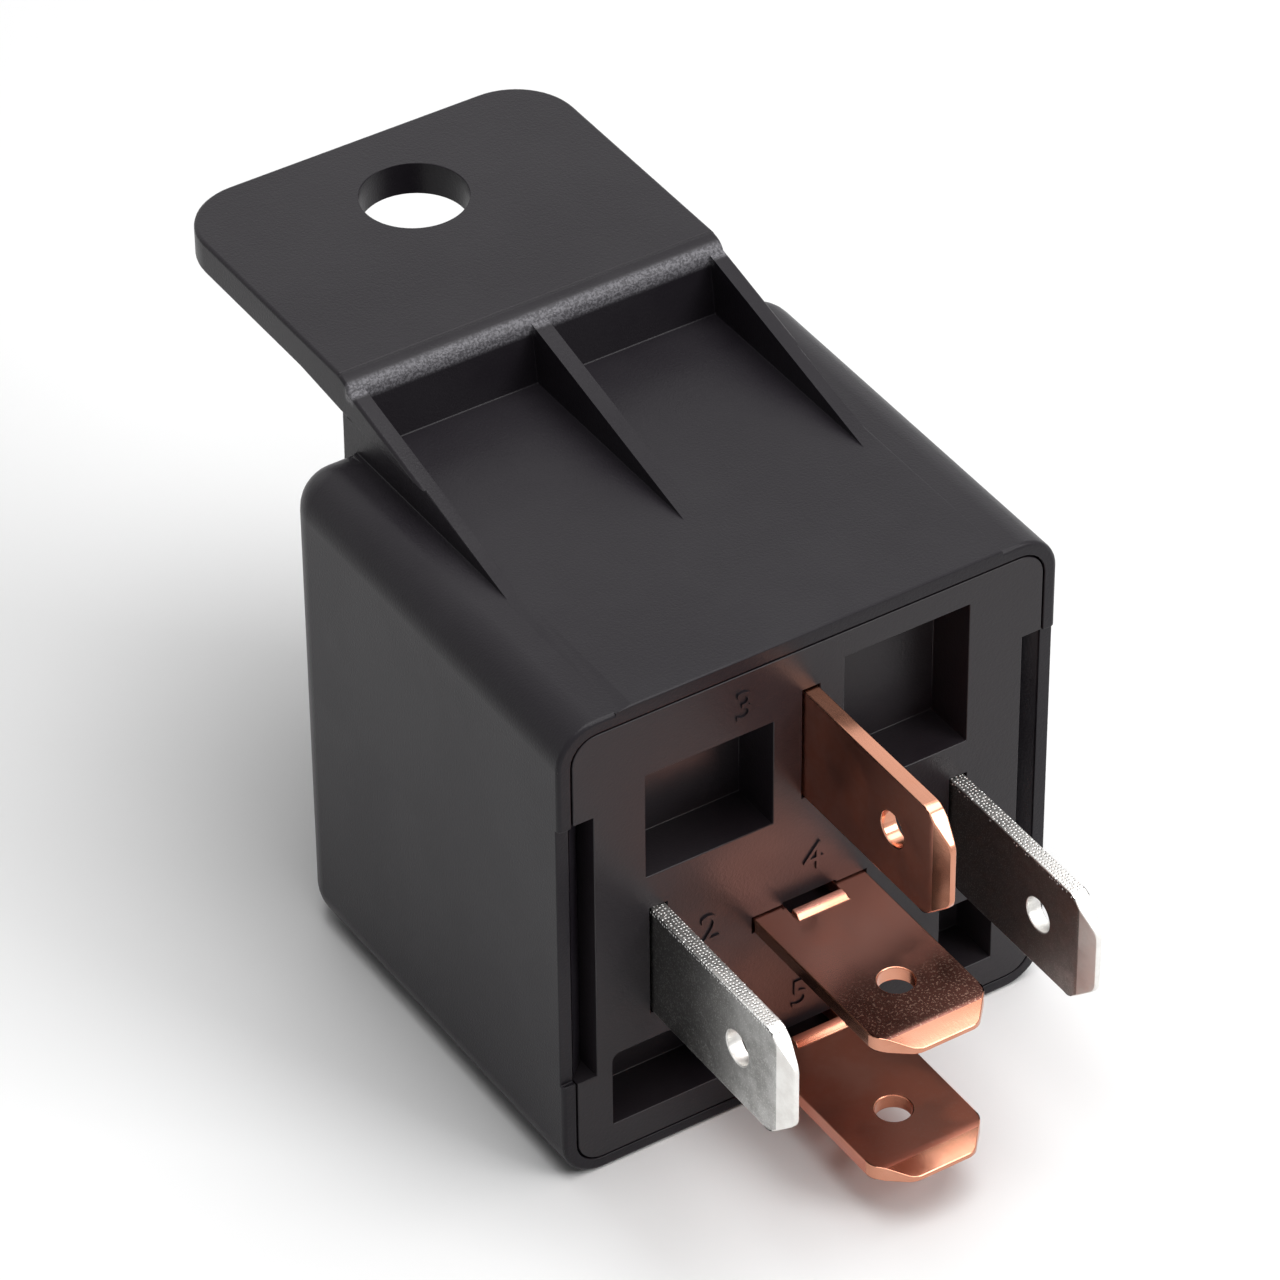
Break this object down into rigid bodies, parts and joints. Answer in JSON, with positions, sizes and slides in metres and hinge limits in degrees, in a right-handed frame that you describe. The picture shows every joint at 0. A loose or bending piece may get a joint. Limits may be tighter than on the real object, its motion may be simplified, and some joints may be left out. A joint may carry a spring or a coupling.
{
  "type": "automotive relay",
  "caption": "Small plug-in changeover relay: black moulded cover with a ribbed, drilled bracket tab, flat blade terminals, and a coil that pulls a hinged armature with contacts.",
  "frame": {"origin": "centre of the cover's flat underside", "axes": "+X across the relay, +Y from the blades towards the bracket tab, +Z from the underside up to the bracket side"},
  "size_m": [0.0274, 0.0516, 0.0312],
  "materials": {
    "cover_plastic": "satin moulded, very fine grain",
    "base_plastic": "satin moulded",
    "copper": "bright rolled copper, brownish where it was stamped",
    "tinned": "tin plated copper alloy, satin",
    "bobbin_plastic": "natural moulded",
    "enamelled_wire": "gloss enamelled copper wire",
    "plated_iron": "zinc plated soft iron",
    "spring_bronze": "bright rolled copper alloy",
    "rivet_brass": "bright turned",
    "contact_silver": "bright silver"
  },
  "bodies": {
    "housing": {"cover": "cover_plastic", "base": "base_plastic", "terminal_30": "copper", "terminal_87": "copper", "terminal_87a": "copper", "terminal_85": "tinned", "terminal_86": "tinned", "bobbin": "bobbin_plastic", "coil_winding": "enamelled_wire", "coil_lead_85": "enamelled_wire", "coil_lead_86": "enamelled_wire", "core": "plated_iron", "yoke": "plated_iron", "terminal_rivet": "rivet_brass", "spring_rivets": "rivet_brass", "fixed_contact_87": "contact_silver", "fixed_contact_87a": "contact_silver"},
    "armature": {"armature": "plated_iron", "residual_pin": "rivet_brass", "contact_spring": "spring_bronze", "armature_rivets": "rivet_brass", "moving_contact": "contact_silver"}
  },
  "joints": [
    {"name": "armature_hinge", "type": "hinge", "parent": "housing", "child": "armature", "pos_m": [0, 0.0058, 0.0251], "axis": [-1, 0, 0], "range_deg": [0, 3.5], "stiffness_Nm_per_rad": 0.2, "springref_deg": -3.44, "deforming": ["contact_spring"]}
  ]
}
